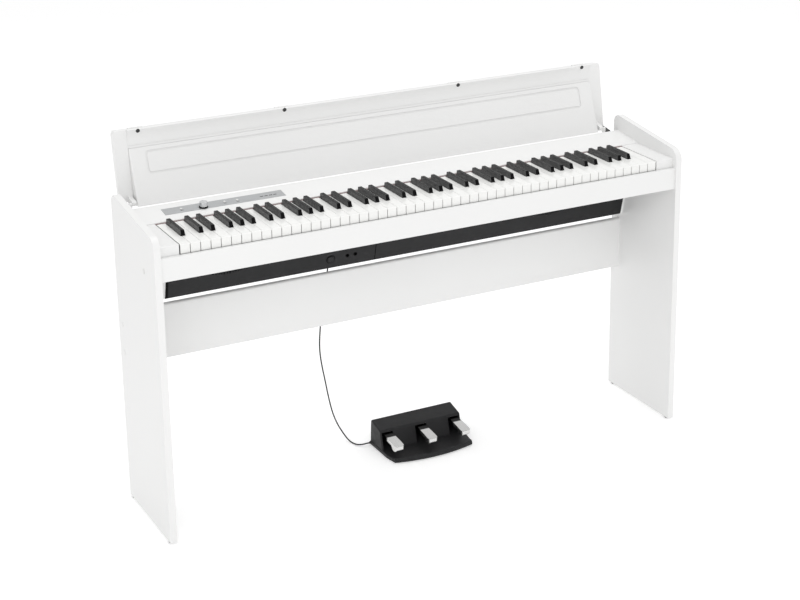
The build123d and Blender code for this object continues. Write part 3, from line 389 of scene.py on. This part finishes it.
def make_knob_scale(materials):
    """The knob's base ring and collar, and the dots round it."""
    knob_x, knob_y, _ = joint("volume_turn")["pos_m"]
    place, normal = on_strip(knob_x, knob_y)
    disc("knob_ring", place, normal, RING_RADIUS, RING_THICK, "socket_black", materials)
    lifted = place + normal * COLLAR_LIFT
    collar = disc("knob_collar", lifted, normal, COLLAR_RADIUS, COLLAR_THICK, "socket_black", materials)
    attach(collar, "volume_knob")
    for step in range(-DOTS_EACH_WAY, DOTS_EACH_WAY + 1):
        turn = math.radians(DOT_STEP * step)
        dot = on_strip(knob_x + DOT_CIRCLE * math.sin(turn), knob_y + DOT_CIRCLE * math.cos(turn))[0]
        name = f"scale_dot_{step + DOTS_EACH_WAY + 1}"
        disc(name, dot, normal, DOT_RADIUS, PRINT_THICK, "socket_black", materials)


def make_strip_print(materials):
    """A mark under each panel button, and a few short bars at the strip's right end."""
    knob_x, knob_y, _ = joint("volume_turn")["pos_m"]
    normal = on_strip(knob_x, knob_y)[1]
    tilt = math.atan2(-normal.y, normal.z)
    for number in (1, 2, 3):
        x, y = middle(f"panel_button_{number}")[:2]
        mark = on_strip(x, y - MARK_DROP)[0]
        plate(f"button_mark_{number}", mark, tilt, MARK_SIZE, "socket_black", materials)
    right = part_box("control_strip")[1][0]
    for number in range(BAR_COUNT):
        bar = on_strip(right - BAR_START - BAR_PITCH * number, knob_y + BAR_RISE)[0]
        plate(f"strip_bar_{number + 1}", bar, tilt, BAR_SIZE, "socket_black", materials)


FELT_THICK, FELT_HEIGHT = 0.5 * MM, 20 * MM
FELT_INSET, FELT_DROP = 0.3 * MM, 0.4 * MM      # from the felt line's end, and below the keys' tops


def make_cheek_felt(materials):
    """The dark felt beside the lowest key."""
    felt_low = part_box("key_felt")[0]
    key_low, key_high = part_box("white_keys_low")
    depth = felt_low[1] - key_low[1]
    place = (felt_low[0] + FELT_INSET, key_low[1] + depth / 2, key_high[2] - FELT_HEIGHT - FELT_DROP)
    plate("cheek_felt", place, 0.0, (FELT_THICK, depth, FELT_HEIGHT), "black_rubber", materials)


FRONT_WALL = 3 * MM                              # of the speaker box's slanted front
# painted shade on the speaker box's slanted front: a black band at its left end and a dark line in its seam
SHADE_BAND_LENGTH = 130 * MM
END_SHADE_WIDTH, END_SHADE_THICK = 6 * MM, 1.2 * MM
# the seam's dark line is a painted shadow
SEAM_SHADOW_WIDTH, SEAM_SHADOW_THICK = 1.7 * MM, 0.4 * MM
# a dark ring round the power button: painted shade for its recess
RECESS_SHADE_RADIUS, RECESS_SHADE_THICK = 10.3 * MM, 0.7 * MM
CAP_SLACK = 0.1 * MM


def front_slope():
    """How far the speaker box's front leans from upright."""
    low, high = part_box("front_strip_left")
    return math.atan2(high[1] - low[1] - FRONT_WALL, high[2] - low[2])


def painted_shade_band(name, x, wide, thick, materials):
    """A thin black band up the slanted front at x, as painted shade."""
    low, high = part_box("front_strip_left")
    slope = front_slope()
    run = Vector((0, -math.sin(slope), math.cos(slope)))
    centre = Vector((x, (low[1] + high[1] - FRONT_WALL - thick) / 2, (low[2] + high[2]) / 2))
    size = (wide, thick, SHADE_BAND_LENGTH)
    plate(name, centre - run * SHADE_BAND_LENGTH / 2, slope, size, "socket_black", materials)


def make_painted_front_shade(materials):
    """Painted shade on the slanted front: a black band at its left end for the box's shaded end, and a dark line
    for the shadow in its seam.
    """
    low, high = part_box("front_strip_left")
    seam = (high[0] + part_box("front_strip_right")[0][0]) / 2
    # a black band for the shaded left end of the box: painted shade
    painted_shade_band("painted_end_shade", low[0] + FRONT_WALL, END_SHADE_WIDTH, END_SHADE_THICK, materials)
    # a dark line for the shadow in the seam: painted shadow
    painted_shade_band("painted_seam_shadow", seam, SEAM_SHADOW_WIDTH, SEAM_SHADOW_THICK, materials)


def make_power_recess_shade(materials):
    """A dark open ring on the slanted front, round the power button's cap: painted shade for the recess round the
    button.
    """
    slope = front_slope()
    normal = Vector((0, -math.cos(slope), -math.sin(slope)))
    button = NODES["power_button"]
    corners = [button.matrix_world @ v.co for v in button.data.vertices]
    reach = max(normal.dot(c) for c in corners)
    cap = [c for c in corners if normal.dot(c) > reach - CAP_SLACK]
    centre = (Vector(map(min, zip(*cap))) + Vector(map(max, zip(*cap)))) / 2
    low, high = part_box("front_strip_left")
    proud = reach - normal.dot(Vector((0, low[1], high[2])))
    bpy.ops.mesh.primitive_torus_add(
        location=centre - normal * proud, rotation=(math.pi / 2 + slope, 0, 0),
        major_radius=RECESS_SHADE_RADIUS, minor_radius=RECESS_SHADE_THICK, major_segments=96, minor_segments=16,
    )
    fit(bpy.context.object, "power_recess_shade", "socket_black", materials)


SCREW_RADIUS, SCREW_THICK = 3.6 * MM, 0.9 * MM
SCREWS_IN_ROW, FIRST_SCREW, SCREW_PITCH = 5, 0.08, 0.21           # the last two as shares of the width
SCREW_ROWS = (("rear_cover", 0.25), ("rear_cover", 0.75), ("speaker_housing", 0.5))


def make_rear_screws(materials):
    """Screw heads along the rear of the case and of the speaker box."""
    for node, rise in SCREW_ROWS:
        low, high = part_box(node)
        z = low[2] + (high[2] - low[2]) * rise
        for number in range(SCREWS_IN_ROW):
            x = low[0] + (high[0] - low[0]) * (FIRST_SCREW + SCREW_PITCH * number)
            name = f"screw_{node}_{int(rise * 100)}_{number + 1}"
            disc(name, (x, high[1], z), (0, 1, 0), SCREW_RADIUS, SCREW_THICK, "plated_steel", materials)


# ---------------------------------------------------------------- floor and light
FLOOR_SIZE, FLOOR_GLOW = 60.0, 0.25
ROOM_LIGHT = 0.76
OPEN_WHITE = (1.0, 1.0, 1.0, 1.0)


def make_floor():
    """A plain pale floor that glows a little, so that it runs into the background."""
    bpy.ops.mesh.primitive_plane_add(size=FLOOR_SIZE, location=(0, 0, 0))
    floor = bpy.context.object
    floor.name = "floor"
    pale = Surface("floor_pale", (0.93, 0.93, 0.93), 0.8)
    pale.mottle(0.4, 0.004)
    pale.set(emission_color=OPEN_WHITE, emission_strength=FLOOR_GLOW)
    floor.data.materials.append(pale.material)


def softbox(name, place, target, size, power):
    """A rectangular lamp at place that faces target."""
    data = bpy.data.lights.new(name, "AREA")
    data.shape, data.size, data.size_y = "RECTANGLE", size[0], size[1]
    data.energy = power
    light = bpy.data.objects.new(name, data)
    bpy.context.scene.collection.objects.link(light)
    light.location = place
    light.rotation_euler = (Vector(target) - Vector(place)).to_track_quat("-Z", "Y").to_euler()


def make_light():
    """An even room that the camera sees as pure white, a softbox in front and a weaker one above."""
    world = bpy.data.worlds.new("room")
    bpy.context.scene.world = world
    world.use_nodes = True
    nodes, links = world.node_tree.nodes, world.node_tree.links
    room = nodes["Background"]
    room.inputs["Color"].default_value = OPEN_WHITE
    room.inputs["Strength"].default_value = ROOM_LIGHT
    seen = nodes.new("ShaderNodeBackground")
    seen.inputs["Color"].default_value = OPEN_WHITE
    rays, choice = nodes.new("ShaderNodeLightPath"), nodes.new("ShaderNodeMixShader")
    links.new(rays.outputs["Is Camera Ray"], choice.inputs["Fac"])
    links.new(room.outputs["Background"], choice.inputs[1])
    links.new(seen.outputs["Background"], choice.inputs[2])
    links.new(choice.outputs["Shader"], nodes["World Output"].inputs["Surface"])
    softbox("key_light", (-2.7, -5.6, 4.3), (0, 0, 0.5), (4.0, 3.0), 101.0)
    softbox("top_light", (0.4, 0.3, 3.6), (0, 0, 0.6), (3.2, 2.2), 33.0)


make_camera()
MATERIALS = make_materials()
make_cord(MATERIALS)
dress_nodes(MATERIALS)
make_knob_scale(MATERIALS)
make_strip_print(MATERIALS)
make_cheek_felt(MATERIALS)
make_painted_front_shade(MATERIALS)
make_power_recess_shade(MATERIALS)
make_rear_screws(MATERIALS)
make_floor()
make_light()
bpy.context.scene.view_settings.view_transform = "Standard"
